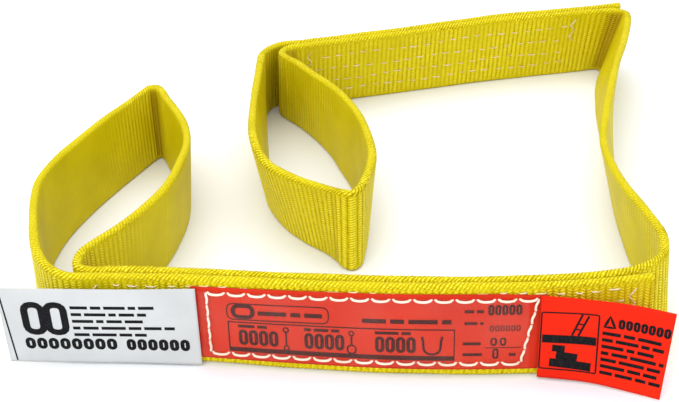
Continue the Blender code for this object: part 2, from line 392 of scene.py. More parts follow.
def section():
    """Around the webbing's cross-section: height, offset, outward normal, girth and edge share."""
    straight = WEB_WIDTH - 2 * EDGE_RADIUS
    half = WEB_THICKNESS / 2
    heights = []
    offsets = []
    normals = []
    edge = []
    up_face = np.linspace(0, straight, FACE_COLUMNS, endpoint=False) + EDGE_RADIUS
    turn = np.linspace(0, math.pi, EDGE_COLUMNS, endpoint=False)
    for side in (1, -1):
        face = up_face if side == 1 else WEB_WIDTH - up_face
        heights += list(face)
        offsets += [side * half] * FACE_COLUMNS
        normals += [(0.0, side)] * FACE_COLUMNS
        edge += list(np.clip(1 - np.minimum(up_face, WEB_WIDTH - up_face) / EDGE_FADE, 0, 1))
        centre = WEB_WIDTH - EDGE_RADIUS if side == 1 else EDGE_RADIUS
        heights += list(centre + side * EDGE_RADIUS * np.sin(turn))
        offsets += list(side * half * np.cos(turn))
        normals += [(side * math.sin(a), side * math.cos(a)) for a in turn]
        edge += [1.0] * EDGE_COLUMNS
    heights = np.array(heights)
    offsets = np.array(offsets)
    steps = np.hypot(np.diff(heights, append=heights[0]), np.diff(offsets, append=offsets[0]))
    girth = np.concatenate([[0.0], np.cumsum(steps)])
    return heights, offsets, np.array(normals), girth, np.array(edge)


def rib_shape(along):
    """The height of the crosswise ribs, 0 in a valley to 1 on a crest."""
    return (0.5 + 0.5 * np.cos(2 * np.pi * along / RIB_PITCH)) ** RIB_FULLNESS


def yarn_shape(along, girth):
    """Slanted yarns inside each rib, leaning the other way in every second rib."""
    rib = np.floor(along / RIB_PITCH + 0.5)
    inside = along / RIB_PITCH - rib
    lean = np.where(rib % 2 < 0.5, 1.0, -1.0)
    return 0.5 + 0.5 * np.cos(2 * np.pi * (girth / YARN_PITCH + lean * inside * YARN_LEAN))


def loop_shape(along, girth):
    """The slanted loops in which the crosswise yarn turns back at the webbing's edges."""
    uneven = 0.14 * np.sin(along / 4.3)
    uneven = uneven + 0.16 * np.sin(along / 2.3) * np.sin(along / 5.1 + girth / 2.7)
    loops = np.cos(2 * np.pi * (along / RIB_PITCH * LOOPS_PER_RIB + girth * LOOP_LEAN + uneven))
    beads = np.cos(2 * np.pi * (girth / BEAD_PITCH - along / RIB_PITCH / 2 + 2 * uneven))
    return 0.5 + 0.25 * loops + 0.25 * loops * beads


def wobble(along, girth):
    """A slow unevenness of the surface, in millimetres."""
    return np.sin(along / 17 + girth / 23) * 0.5 + np.sin(along / 7.3 - girth / 9.1 + 1.3) * 0.3


def surface_lift(along, girth, edge, inward, relief):
    """How far the weave lifts each point, how strong its relief is, and how much painted shade lies in
    its crease.
    """
    on_face = 1 - edge
    stretched = np.clip(-inward * STRETCH_GAIN - BEND_SLACK, -0.1, 0.75)
    # Painted shade: the inner side of a bend gets a brown shade in its colour.
    crease_shade = np.clip(inward * CREASE_SHADE_GAIN - BEND_SLACK, 0, 1) * on_face
    patchy = 1 + 0.5 * wobble(along * 1.7, girth * 1.9)
    strength = np.clip(relief(along) * patchy + stretched, 0.04, 1.3)
    ribs = rib_shape(along) - 0.5
    yarns = yarn_shape(along, girth) - 0.5
    loops = loop_shape(along, girth) - 0.5
    lively = EDGE_CALM + (1 - EDGE_CALM) * np.minimum(strength, 1)
    lift = strength * (RIB_DEPTH * ribs + YARN_DEPTH * yarns) * on_face
    lift = lift + EDGE_DEPTH * lively * loops * edge
    lift = lift + WOBBLE_DEPTH * wobble(along, girth)
    return lift, strength, crease_shade


def tube_faces(rings, columns):
    """The faces of a tube of vertex rings, its two end caps last."""
    ring = np.arange(rings - 1)[:, None] * columns
    column = np.arange(columns)[None, :]
    after = (column + 1) % columns
    quads = np.stack([ring + after, ring + columns + after, ring + columns + column, ring + column], -1)
    faces = quads.reshape(-1, 4).tolist()
    last = (rings - 1) * columns
    faces.append(list(range(columns)))
    faces.append(list(range(last + columns - 1, last - 1, -1)))
    return faces


def webbing_piece(name, route, start, end, relief, material):
    """One length of the strip, closed at both ends, with its ribs and yarns in relief."""
    count = round((end - start) / RIB_PITCH * STATIONS_PER_RIB) + 1
    along = np.linspace(start, end, count)
    foot, up, _, left, bend = route.read(along)
    heights, offsets, normals, girth, edge = section()
    rise = up / WEB_WIDTH
    base = foot[:, None, :] + rise[:, None, :] * heights[None, :, None]
    base = base + left[:, None, :] * offsets[None, :, None]
    outward = rise[:, None, :] * normals[None, :, 0, None]
    outward = outward + left[:, None, :] * normals[None, :, 1, None]
    inward = bend[:, None] * normals[None, :, 1]
    lift, strength, crease_shade = surface_lift(
        along[:, None], girth[None, :-1], edge[None, :], inward, relief
    )
    points = (base + outward * lift[:, :, None]) * MM
    faces = tube_faces(count, len(heights))
    piece = mesh_object(name, points.reshape(-1, 3), faces, material)
    for cap in piece.data.polygons[-2:]:
        cap.use_smooth = False
    add_weave_coordinates(piece, along, girth, strength, crease_shade, edge)
    return piece


def add_weave_coordinates(piece, along, girth, strength, crease_shade, edge):
    """A UV map in ribs along and yarns around, and relief, painted crease shade and edge share per
    vertex.
    """
    mesh = piece.data
    columns = len(edge)
    count = len(along)
    ribs = along / RIB_PITCH
    around = girth / YARN_PITCH
    u = np.broadcast_to(ribs[:-1, None], (count - 1, columns))
    u_next = np.broadcast_to(ribs[1:, None], (count - 1, columns))
    v = np.broadcast_to(around[None, :-1], (count - 1, columns))
    v_next = np.broadcast_to(around[None, 1:], (count - 1, columns))
    corners = [(u, v_next), (u_next, v_next), (u_next, v), (u, v)]
    quads = np.stack([np.stack(corner, -1) for corner in corners], 2).reshape(-1, 2)
    caps = np.zeros((2 * columns, 2))
    layer = mesh.uv_layers.new(name="weave")
    layer.data.foreach_set("uv", np.concatenate([quads, caps]).astype(np.float32).ravel())
    values = {"relief": strength.ravel(), "crease_shade": crease_shade.ravel(), "edge": np.tile(edge, count)}
    for attribute_name, numbers in values.items():
        attribute = mesh.attributes.new(attribute_name, "FLOAT", "POINT")
        attribute.data.foreach_set("value", numbers.astype(np.float32))


def leaf_surface(name, route, start, end, low, high, middle, thickness, material, corner=(0.0, 0.0)):
    """A thin closed sheet along a route, from low to high across it, at a middle offset.

    The upper corner at its start is moved along and up by the corner's two distances.
    """
    count = max(2, round((end - start) / LEAF_STEP)) + 1
    rows = max(2, round((high - low) / LEAF_STEP)) + 1
    along = np.linspace(start, end, count)
    fade = np.maximum(0, 1 - (along - start) / CORNER_REACH)
    grid = []
    for offset in (middle + thickness / 2, middle - thickness / 2):
        for share in np.linspace(0, 1, rows):
            moved = along + corner[0] * fade * share
            height = low + share * (high - low + corner[1] * fade)
            grid.append(route.place(moved, height, offset))
    vertices = np.concatenate(grid)
    faces = []
    layer = rows * count

    def at(side, row, column):
        return side * layer + row * count + column

    for row in range(rows - 1):
        for column in range(count - 1):
            quad = [
                at(0, row, column),
                at(0, row, column + 1),
                at(0, row + 1, column + 1),
                at(0, row + 1, column),
            ]
            faces.append(quad[::-1])
            faces.append([vertex + layer for vertex in quad])
    for row in (0, rows - 1):
        for column in range(count - 1):
            after = column + 1
            faces.append([at(0, row, column), at(0, row, after), at(1, row, after), at(1, row, column)])
    for column in (0, count - 1):
        for row in range(rows - 1):
            above = row + 1
            faces.append(
                [at(0, row, column), at(0, above, column), at(1, above, column), at(1, row, column)]
            )
    piece = mesh_object(name, vertices, faces, material)
    fix_normals(piece)
    return piece


def fix_normals(piece):
    """Turns every face of a closed piece outward."""
    mesh_data = bmesh.new()
    mesh_data.from_mesh(piece.data)
    bmesh.ops.recalc_face_normals(mesh_data, faces=mesh_data.faces)
    mesh_data.to_mesh(piece.data)
    mesh_data.free()


def joined_tubes(name, lines, radius, material):
    """One mesh of round threads, one along each line of points in metres, ends closed."""
    curve = bpy.data.curves.new(name, "CURVE")
    curve.dimensions = "3D"
    curve.bevel_depth = radius
    curve.bevel_resolution = 2
    curve.use_fill_caps = True
    for line in lines:
        spline = curve.splines.new("POLY")
        spline.points.add(len(line) - 1)
        for spline_point, point in zip(spline.points, line):
            spline_point.co = (*point, 1.0)
    guide = bpy.data.objects.new(name + "_guide", curve)
    bpy.context.scene.collection.objects.link(guide)
    graph = bpy.context.evaluated_depsgraph_get()
    mesh = bpy.data.meshes.new_from_object(guide.evaluated_get(graph))
    bpy.data.objects.remove(guide)
    mesh.polygons.foreach_set("use_smooth", [True] * len(mesh.polygons))
    mesh.materials.clear()
    mesh.materials.append(material)
    piece = bpy.data.objects.new(name, mesh)
    bpy.context.scene.collection.objects.link(piece)
    return piece


def stitch_line(route, start, end, surface):
    """One stitch from start to end, each (distance, height): it dives in at both ends."""
    t = np.linspace(0, 1, 9)
    along = start[0] + (end[0] - start[0]) * t
    high = start[1] + (end[1] - start[1]) * t
    bulge = np.minimum(1, np.sin(np.pi * t) * 2.2)
    return route.place(along, high, surface + STITCH_RISE * bulge - STITCH_SINK * (1 - bulge))


# ---------------------------------------------------------------- materials

class Shader:
    """A node material with short calls for the nodes that this scene uses."""

    def __init__(self, name, roughness=0.6, **sockets):
        self.material = bpy.data.materials.new(name)
        self.material.use_nodes = True
        self.tree = self.material.node_tree
        self.surface = self.tree.nodes["Principled BSDF"]
        self.surface.inputs["Roughness"].default_value = roughness
        for socket, value in sockets.items():
            self.surface.inputs[socket.replace("_", " ")].default_value = value
        self.coordinates = self.node("ShaderNodeTexCoord").outputs["Object"]

    def node(self, kind, **settings):
        made = self.tree.nodes.new(kind)
        for key, value in settings.items():
            setattr(made, key, value)
        return made

    def link(self, source, target):
        self.tree.links.new(source, target)

    def math(self, operation, a, b=None):
        made = self.node("ShaderNodeMath", operation=operation)
        for socket, value in zip(made.inputs, (a, b)):
            if value is None:
                continue
            if isinstance(value, (int, float)):
                socket.default_value = value
            else:
                self.link(value, socket)
        return made.outputs[0]

    def scaled(self, value, factor, offset, clamp=False):
        """value * factor + offset."""
        made = self.node("ShaderNodeMath", operation="MULTIPLY_ADD", use_clamp=clamp)
        self.link(value, made.inputs[0])
        made.inputs[1].default_value = factor
        made.inputs[2].default_value = offset
        return made.outputs[0]

    def sum(self, *terms):
        """The sum of pairs of a value and its factor."""
        total = None
        for value, factor in terms:
            made = self.node("ShaderNodeMath", operation="MULTIPLY_ADD")
            self.link(value, made.inputs[0])
            made.inputs[1].default_value = factor
            made.inputs[2].default_value = 0.0
            if total is not None:
                self.link(total, made.inputs[2])
            total = made.outputs[0]
        return total

    def wave(self, turns):
        """A cosine of so many turns, from 0 to 1."""
        return self.scaled(self.math("COSINE", self.math("MULTIPLY", turns, 2 * math.pi)), 0.5, 0.5)

    def blend(self, share, a, b):
        """Between the numbers a and b."""
        made = self.node("ShaderNodeMix", data_type="FLOAT")
        for socket, value in zip(made.inputs, (share, None, a, b)):
            if value is not None:
                self.link(value, socket)
        return made.outputs[0]

    def noise(self, scale, detail):
        """Noise in object coordinates, so that it stays on its piece."""
        made = self.node("ShaderNodeTexNoise")
        self.link(self.coordinates, made.inputs["Vector"])
        made.inputs["Scale"].default_value = scale
        made.inputs["Detail"].default_value = detail
        made.inputs["Roughness"].default_value = 0.55
        return made.outputs["Fac"]

    def ramp(self, value, stops):
        made = self.node("ShaderNodeValToRGB")
        self.link(value, made.inputs["Fac"])
        elements = made.color_ramp.elements
        while len(elements) < len(stops):
            elements.new(0.5)
        for element, (place, colour) in zip(elements, stops):
            element.position = place
            element.color = (*colour, 1.0)
        return made.outputs["Color"]

    def mix(self, share, a, b):
        """Between the colours a and b, where b may be plain numbers."""
        made = self.node("ShaderNodeMix", data_type="RGBA")
        self.link(share, made.inputs["Factor"])
        self.link(a, made.inputs[6])
        if isinstance(b, tuple):
            made.inputs[7].default_value = (*b, 1.0)
        else:
            self.link(b, made.inputs[7])
        return made.outputs[2]

    def attribute(self, name):
        return self.node("ShaderNodeAttribute", attribute_name=name).outputs["Fac"]

    def finish(self, colour, height=None, distance=0.0003, strength=1.0, roughness=None):
        self.link(colour, self.surface.inputs["Base Color"])
        if roughness is not None:
            self.link(roughness, self.surface.inputs["Roughness"])
        if height is not None:
            bump = self.node("ShaderNodeBump")
            bump.inputs["Distance"].default_value = distance
            bump.inputs["Strength"].default_value = strength
            self.link(height, bump.inputs["Height"])
            self.link(bump.outputs["Normal"], self.surface.inputs["Normal"])
        return self.material


def webbing_material():
    """Yellow ribbed webbing: slanted yarns in ribs, with a painted highlight on the crests, painted
    brown shade in the valleys and painted brown shade on the inner sides of bends.
    """
    shader = Shader("yellow webbing", Specular_IOR_Level=0.09)
    weave = shader.node("ShaderNodeSeparateXYZ")
    shader.link(shader.node("ShaderNodeUVMap", uv_map="weave").outputs["UV"], weave.inputs[0])
    ribs, yarns = weave.outputs["X"], weave.outputs["Y"]
    relief = shader.attribute("relief")
    edge = shader.attribute("edge")
    crease_shade = shader.attribute("crease_shade")
    filament = shader.noise(2600, 2.0)
    patch = shader.noise(38, 4.0)
    speck = shader.noise(420, 2.0)

    rib = shader.math("FLOOR", shader.math("ADD", ribs, 0.5))
    inside = shader.math("SUBTRACT", ribs, rib)
    lean = shader.scaled(shader.math("PINGPONG", rib, 1.0), 2.0, -1.0)
    slant = shader.math("MULTIPLY", shader.math("MULTIPLY", inside, lean), -YARN_LEAN)
    yarn = shader.wave(shader.math("ADD", yarns, slant))
    crest = shader.wave(ribs)
    loops = shader.sum((ribs, LOOPS_PER_RIB), (speck, 0.9), (yarns, LOOP_LEAN * YARN_PITCH))
    loop = shader.wave(loops)
    beads = shader.sum((ribs, -0.5), (speck, 1.1), (yarns, YARN_PITCH / BEAD_PITCH))
    bead = shader.wave(beads)

    crest = shader.math("POWER", crest, RIB_FULLNESS)
    on_face = shader.math("MULTIPLY", crest, shader.scaled(yarn, 0.68, 0.32))
    on_edge = shader.math("MULTIPLY", loop, shader.scaled(bead, 0.55, 0.45))
    weave_height = shader.blend(edge, on_face, on_edge)
    lively = shader.math("MULTIPLY", edge, shader.scaled(relief, 0.6, 0.26))
    visible = shader.math("MAXIMUM", shader.scaled(relief, 1.15, -0.08, clamp=True), lively)

    # Painted light: the weave's height sets the colour, so the valleys get painted brown shade and the
    # crests a painted highlight; random specks of tone are mixed in.
    shade = shader.math("ADD", shader.scaled(weave_height, 0.78, -0.1), shader.sum((speck, 0.42)))
    # The ramp runs from painted brown shade in the valleys up to a pale painted highlight on the
    # crests.
    shaded_weave_colour = shader.ramp(
        shade,
        [
            (0.02, (0.27, 0.19, 0.0)),
            (0.22, (0.52, 0.415, 0.0)),
            (0.55, (0.78, 0.65, 0.002)),
            (0.88, (1.0, 0.9, 0.08)),
        ],
    )
    plain = shader.ramp(patch, [(0.3, (0.515, 0.425, 0.0)), (0.75, (0.64, 0.54, 0.003))])
    colour = shader.mix(visible, plain, shaded_weave_colour)
    # Painted shade: the inner side of each bend is darkened brown, broken up by the yarns.
    crease_shade_share = shader.math("MULTIPLY", crease_shade, shader.scaled(yarn, -0.65, 0.95))
    colour = shader.mix(crease_shade_share, colour, (0.24, 0.12, 0.0))
    fine = shader.math("MULTIPLY", weave_height, shader.scaled(visible, 0.95, 0.05))
    fine = shader.sum((fine, 1.0), (filament, 0.12))
    rough = shader.scaled(weave_height, -0.14, 0.56)
    return shader.finish(colour, fine, 0.0006, 0.9, rough)


def thread_material():
    """The label's thick cream thread, with fine strands."""
    shader = Shader("cream thread", roughness=0.5, Sheen_Weight=0.3)
    strands = shader.noise(2200, 2.0)
    patch = shader.noise(90, 2.0)
    colour = shader.ramp(patch, [(0.3, (0.78, 0.66, 0.5)), (0.7, (0.92, 0.84, 0.7))])
    return shader.finish(colour, strands, 0.0003, 0.7)


def faded_thread_material():
    """The splice's own thread, pulled into the webbing and stained yellow by it."""
    shader = Shader("splice thread", roughness=0.55, Sheen_Weight=0.2)
    strands = shader.noise(2200, 2.0)
    patch = shader.noise(160, 2.0)
    colour = shader.ramp(patch, [(0.35, (0.66, 0.5, 0.12)), (0.62, (0.84, 0.7, 0.5))])
    return shader.finish(colour, strands, 0.0003, 0.7)


def vinyl_material(name, dark, light, roughness):
    """Printed vinyl sheet, slightly uneven in colour and gloss."""
    shader = Shader(name, roughness=roughness, Specular_IOR_Level=0.12)
    patch = shader.noise(30, 3.0)
    grain = shader.noise(900, 2.0)
    colour = shader.ramp(patch, [(0.3, dark), (0.7, light)])
    rough = shader.scaled(grain, 0.2, roughness - 0.1)
    return shader.finish(colour, shader.math("ADD", grain, patch), 0.0002, 0.3, rough)


def film_material():
    """A clear film that hazes the print below it."""
    shader = Shader("cover film", roughness=0.22, Specular_IOR_Level=0.5)
    patch = shader.noise(45, 3.0)
    colour = shader.ramp(patch, [(0.3, (0.8, 0.36, 0.3)), (0.7, (0.9, 0.5, 0.42))])
    shader.link(shader.scaled(patch, 0.04, 0.01), shader.surface.inputs["Alpha"])
    return shader.finish(colour, patch, 0.0004, 0.25)


def ink_material(name, colour):
    """Printing ink, a little paler where it has worn."""
    shader = Shader(name, roughness=0.7, Specular_IOR_Level=0.1)
    worn = shader.noise(1200, 2.0)
    lighter = tuple(min(1.0, c + 0.015) for c in colour)
    return shader.finish(shader.ramp(worn, [(0.45, colour), (0.75, lighter)]), worn, 0.00005, 0.2)


def floor_material():
    """A plain pale studio floor."""
    shader = Shader("floor", roughness=0.9, Specular_IOR_Level=0.1)
    patch = shader.noise(3, 2.0)
    colour = shader.ramp(patch, [(0.2, (0.88, 0.895, 0.95)), (0.8, (0.9, 0.915, 0.965))])
    return shader.finish(colour)


# ---------------------------------------------------------------- printed marks

def stroke(path, width, closed=False):
    """A flat line of some width through the path's points, as rows of (left, right) points."""
    points = [Vector(point) for point in path]
    count = len(points)
    rows = []
    for index in range(count):
        before = points[(index - 1) % count] if closed else points[max(index - 1, 0)]
        after = points[(index + 1) % count] if closed else points[min(index + 1, count - 1)]
        run = (after - before).normalized()
        across = Vector((-run.y, run.x)) * width / 2
        rows.append((points[index] + across, points[index] - across))
    if closed:
        rows.append(rows[0])
    return rows


def line(start, end, thick):
    """A straight mark, with points often enough to follow a curved sheet."""
    count = max(2, math.ceil((Vector(end) - Vector(start)).length / PRINT_STEP) + 1)
    return stroke([Vector(start).lerp(Vector(end), t) for t in np.linspace(0, 1, count)], thick)


def bar(left, right, middle, thick):
    return line((left, middle), (right, middle), thick)


def rounded_box(left, low, right, high, radius, thick):
    """The outline of a rectangle with rounded corners."""
    path = []
    for centre_a, centre_b, turn in (
        (right - radius, high - radius, 0),
        (left + radius, high - radius, 1),
        (left + radius, low + radius, 2),
        (right - radius, low + radius, 3),
    ):
        for step in range(4):
            angle = (turn + step / 3) * math.pi / 2
            path.append((centre_a + radius * math.cos(angle), centre_b + radius * math.sin(angle)))
    dense = []
    for index, point in enumerate(path):
        following = Vector(path[(index + 1) % len(path)])
        start = Vector(point)
        pieces = max(1, math.ceil((following - start).length / PRINT_STEP))
        dense += [start.lerp(following, k / pieces) for k in range(pieces)]
    return stroke(dense, thick, closed=True)


def digits(left, low, count, width, height, thick, gap):
    """Placeholder figures: a row of plain rounded noughts."""
    made = []
    for number in range(count):
        start = left + number * (width + gap)
        half = thick / 2
        made.append(
            rounded_box(
                start + half, low + half, start + width - half, low + height - half,
                (width - thick) / 2, thick,
            )
        )
    return made


def words(left, right, middle, height, seed):
    """A line of greeked text: bars of uneven lengths with gaps between."""
    lengths = [5.2, 3.1, 6.4, 2.2, 4.6, 7.3, 3.8]
    made = []
    place = left
    number = seed
    while place < right - height:
        end = min(right, place + lengths[number % len(lengths)] * height * 0.9)
        made.append(bar(place, end, middle, height))
        place = end + height * 0.8
        number += 1
    return made


def printed(name, marks, surface, lift, thickness, material):
    """The marks as thin closed solids on a surface(a, b, offset) given in millimetres."""
    vertices = []
    faces = []
    for rows in marks:
        first = len(vertices)
        for left, right in rows:
            for point, offset in (
                (left, lift + thickness), (right, lift + thickness), (right, lift), (left, lift)
            ):
                vertices.append(surface(point[0], point[1], offset))
        for index in range(len(rows) - 1):
            here = first + 4 * index
            for side in range(4):
                following = (side + 1) % 4
                faces.append([here + side, here + following, here + 4 + following, here + 4 + side])
        faces.append([first, first + 3, first + 2, first + 1])
        last = first + 4 * (len(rows) - 1)
        faces.append([last, last + 1, last + 2, last + 3])
    piece = mesh_object(name, vertices, faces, material, smooth=False)
    fix_normals(piece)
    return piece


def hook_mark(a, b):
    """A hanging load on one leg, for the first rated hitch."""
    return [
        line((a, b), (a, b + 9), 0.9),
        rounded_box(a - 1.2, b + 8.4, a + 1.2, b + 11, 1.1, 0.8),
        rounded_box(a - 1.2, b - 2.2, a + 1.2, b + 0.4, 1.1, 0.8),
    ]


def choker_mark(a, b):
    """A loop drawn tight round a load, for the second."""
    return [
        line((a, b + 3.6), (a, b + 9.4), 0.9),
        rounded_box(a - 1.0, b + 9, a + 1.0, b + 11.4, 0.9, 0.8),
        rounded_box(a - 2, b - 1.4, a + 2, b + 3.4, 1.9, 0.9),
    ]


def basket_mark(a, b):
    """A sling cradling a load from both ends, for the third."""
    angles = np.linspace(math.pi, 2 * math.pi, 9)
    cradle = [(a + 4 * math.cos(t), b + 3.4 + 3.6 * math.sin(t)) for t in angles]
    path = [(a - 4.8, b + 10), (a - 4.2, b + 6.8), *cradle, (a + 4.2, b + 6.8), (a + 4.8, b + 10)]
    return [stroke(path, 1.2)]


def label_marks():
    """Print of the rating label, with plain bars and noughts in place of its text."""
    marks = [
        rounded_box(17, 24.2, 66, 33.4, 3, 0.65),
        rounded_box(20, 25.8, 29.5, 32.2, 2.6, 2.2),
        line((125.5, 5.4), (125.5, 22.6), 0.6),
        bar(17, 125.5, 22.6, 0.7),
        line((17.2, 5.4), (17.2, 22.6), 0.7),
        bar(17, 125.5, 6.4, 2.6),
    ]
    marks += words(32, 63, 28.4, 2.4, 2)
    marks += words(82, 124, 27, 2.4, 0)
    for start, seed in ((22, 0), (54, 3), (88, 5)):
        marks += words(start, start + 17, 20.4, 1.7, seed)
        marks += digits(start, 9.2, 4, 4.5, 9.2, 1.75, 0.45)
    marks += hook_mark(45.2, 9.8)
    marks += choker_mark(76.8, 9.2)
    marks += basket_mark(115, 8.8)
    marks += words(130, 139, 32.8, 1.6, 1)
    marks += digits(141, 30.6, 5, 2.9, 5.8, 1.2, 0.35)
    marks += words(130, 139, 26.2, 1.5, 4)
    marks += digits(142, 21.6, 6, 2.0, 3.4, 0.6, 0.5)
    marks += words(129.5, 138, 14.8, 1.6, 5)
    marks += digits(142.5, 13.4, 2, 3.2, 4.8, 1.0, 1.2)
    marks.append(bar(140, 157, 12.4, 0.45))
    marks += words(129.5, 139, 8.6, 1.6, 2)
    marks += digits(143.6, 6, 1, 3.0, 6, 1.0, 0.5)
    marks += words(151.5, 156, 8.4, 1.6, 3)
    return marks


def flap_marks():
    """Print of the warning flap: a framed load on a beam above a heap, and greeked text."""
    marks = [
        rounded_box(1.2, 5.5, 28, 37, 0.8, 0.7),
        line((16, 25), (20.5, 36.5), 1.0),
        line((19, 25), (23.5, 36), 1.0),
        line((17.4, 28.5), (20.4, 28.2), 0.7),
        line((18.6, 31.5), (21.6, 31.2), 0.7),
        line((2, 22.4), (27.3, 22.8), 4.4),
        line((7, 17.4), (13, 17.2), 3.6),
        line((9, 13.6), (19, 12.8), 4.2),
        line((6, 9.2), (25.5, 8.4), 4.6),
        stroke(
            [(30.5, 31.4), (32.8, 31.4), (35, 31.4), (33.9, 34.2), (32.7, 37), (31.6, 34.2)],
            1.3, closed=True,
        ),
    ]
    marks += digits(36.4, 31.4, 7, 2.75, 5, 1.2, 0.4)
    for number in range(7):
        height = 28 - 3.5 * number
        marks += words(29.8, 57.5 - (number % 3), height, 1.7, number)
    return marks


def tag_marks():
    """Print of the information tag: a plain block badge, five small lines and a heavy one."""
    marks = [
        rounded_box(11.8, 19.4, 20.2, 36.4, 3.6, 3.6),
        rounded_box(22.8, 19.4, 31, 36.4, 3.4, 3.6),
        line((3.6, 1), (1.2, 42), 0.8),
    ]
    for number, end in enumerate((76, 71, 69, 86, 70)):
        marks += words(34.5, end, 34.9 - 4.2 * number, 1.8, number)
    marks += digits(9.5, 8.6, 8, 5.0, 7.2, 2.0, 0.75)
    marks += digits(59.5, 8.4, 6, 4.6, 7.2, 2.0, 0.7)
    return marks


# ---------------------------------------------------------------- the sling

def relief_table(starts):
    """How strongly the ribs stand out along the strip: more on the sewn plies than in the eyes."""
    knots = [
        (starts["front_outer_ply"], 0.8),
        (starts["front_outer_leg"], 0.8),
        (starts["front_outer_leg"] + 35, 0.6),
        (starts["front_outer_leg"] + 70, 0.15),
        (starts["front_far_turn"] - 60, 0.1),
        (starts["front_far_turn"] - 25, 0.4),
        (starts["front_far_turn"], 0.8),
        (starts["front_inner_leg"] + 20, 0.1),
        (starts["front_throat"] - 55, 0.08),
        (starts["front_throat"] - 10, 0.5),
        (starts["front_throat"], 0.8),
        (starts["front_corner"], 1.25),
        (starts["span_front"] - 4, 1.15),
        (starts["span_front"] + 18, 0.3),
        (starts["span_front"] + 60, 0.08),
        (starts["span_back"], 0.3),
        (starts["back_corner"], 0.4),
        (starts["back_inner_ply"] + 25, 0.75),
        (starts["back_throat"] - 110, 0.8),
        (starts["back_throat"] - 10, 0.5),
        (starts["back_inner_leg"] + 25, 0.45),
        (starts["back_far_turn"] - 75, 0.14),
        (starts["back_far_turn"], 0.75),
        (starts["back_outer_leg"] + 60, 0.75),
        (starts["back_outer_leg"] + 100, 0.12),
        (starts["back_outer_ply"] - 60, 0.2),
        (starts["back_outer_ply"] - 32, 0.8),
        (starts["back_outer_ply"], 0.9),
        (starts["end"], 0.8),
    ]
    distances, values = zip(*knots)
    return lambda along: np.interp(along, distances, values)


def snap(distance):
    """The nearest rib crest, where two pieces can meet without a mark."""
    return round(distance / RIB_PITCH) * RIB_PITCH


def bend_between(piece, route, hinge, heading, reach, first, second):
    """Bakes the piece's transform into its mesh. The bodies first and second are not used.

    The heading, in degrees from +X, is not used.
    """
    middle = Vector(route.place(hinge, WEB_WIDTH / 2, 0)[0])
    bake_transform(piece)


def build_webbing(route, starts, material):
    """The strip as six lengths, each crossing one hinge, cut where nothing bends apart."""
    relief = relief_table(starts)

    def halfway(name, after):
        return snap((starts[name] + starts[after]) / 2)

    cuts = [
        0.0,
        snap(starts["front_far_turn"] + 4),
        halfway("front_inner_ply", "front_corner"),
        halfway("span_front", "span_back"),
        halfway("back_inner_ply", "back_throat"),
        snap(starts["back_far_turn"] + 10),
        route.length,
    ]
    plan = [
        ("webbing_front_outer", "front_outer_leg", 142, 9, "front_splice", "front_eye",
         ["front_splice_outer_ply", "front_eye_outer_leg", "front_eye_far_turn"]),
        ("webbing_front_inner", "front_inner_ply", -53, 7, "front_eye", "front_splice",
         ["front_eye_inner_leg", "front_eye_throat_turn", "front_splice_inner_ply"]),
        ("webbing_front_span", "span_front", 90, 18, "front_splice", "span_front",
         ["front_corner", "span_front_half"]),
        ("webbing_back_span", "span_back", 85, 24, "span_front", "back_splice",
         ["span_back_half", "back_corner", "back_splice_inner_ply"]),
        ("webbing_back_inner", "back_throat", -138, 9, "back_splice", "back_eye",
         ["back_eye_throat_turn", "back_eye_inner_leg", "back_eye_far_turn"]),
        ("webbing_back_outer", "back_outer_ply", 28, 10, "back_eye", "back_splice",
         ["back_eye_outer_leg", "back_splice_outer_ply"]),
    ]
    for index, (name, hinge, heading, reach, first, second, nodes) in enumerate(plan):
        start, end = cuts[index : index + 2]
        piece = webbing_piece(name, route, start, end, relief, material)
        bend_between(piece, route, starts[hinge], heading, reach, first, second)
        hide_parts(*nodes)


def splice_stitches(route, start, end, surface, rows):
    """Short stitches in wavering rows along a splice, with a zigzag across the top of each end."""
    made = []
    for number, height in enumerate(rows):
        place = start + 4 + ROW_STAGGER * (number % 3)
        while place + 6 < end:
            drift = 0.9 * math.sin(place / 11 + 2 * number)
            length = STITCH_LENGTH + 1.3 * math.sin(place / 5 + number)
            first = (place, height + drift)
            last = (place + length, height + 0.6 * drift)
            made.append(stitch_line(route, first, last, surface))
            place += STITCH_PITCH + 0.6 * math.sin(place / 7)
    for across in (start, end):
        for number in range(ZIGZAG_STITCHES):
            low = ZIGZAG_LOW + ZIGZAG_STEP * number
            lean = -1.6 if number % 2 else 1.6
            first = (across - lean, low)
            last = (across + lean, low + ZIGZAG_STEP - 0.4)
            made.append(stitch_line(route, first, last, surface))
    return made


def build_splice_threads(route, starts, material):
    """The stitches on the outer faces of both plies of each splice."""
    face = WEB_THICKNESS / 2 - 0.15
    front, back = FRONT_STITCH_ROWS, BACK_STITCH_ROWS
    plan = [
        ("front_splice_face_thread", "front_outer_ply", "front_outer_leg", "front_splice", front),
        ("front_splice_rear_thread", "front_inner_ply", "front_corner", "front_splice", front),
        ("back_splice_face_thread", "back_inner_ply", "back_throat", "back_splice", back),
        ("back_splice_rear_thread", "back_outer_ply", "end", "back_splice", back),
    ]
    for node, first, after, body, rows in plan:
        lines = splice_stitches(route, starts[first] + 10, starts[after] - 12, face, rows)
        name = node.replace("thread", "stitches")
        piece = joined_tubes(name, lines, SPLICE_THREAD_RADIUS * MM, material)
        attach(piece, body)
        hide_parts(node)


def label_surface(route):
    """Places a point of the label, a from its left edge and b from its foot, in millimetres."""
    def surface(a, b, offset):
        return route.place(LABEL_END - a, LABEL_LOW + b, LABEL_OFFSET + offset)[0]
    return surface


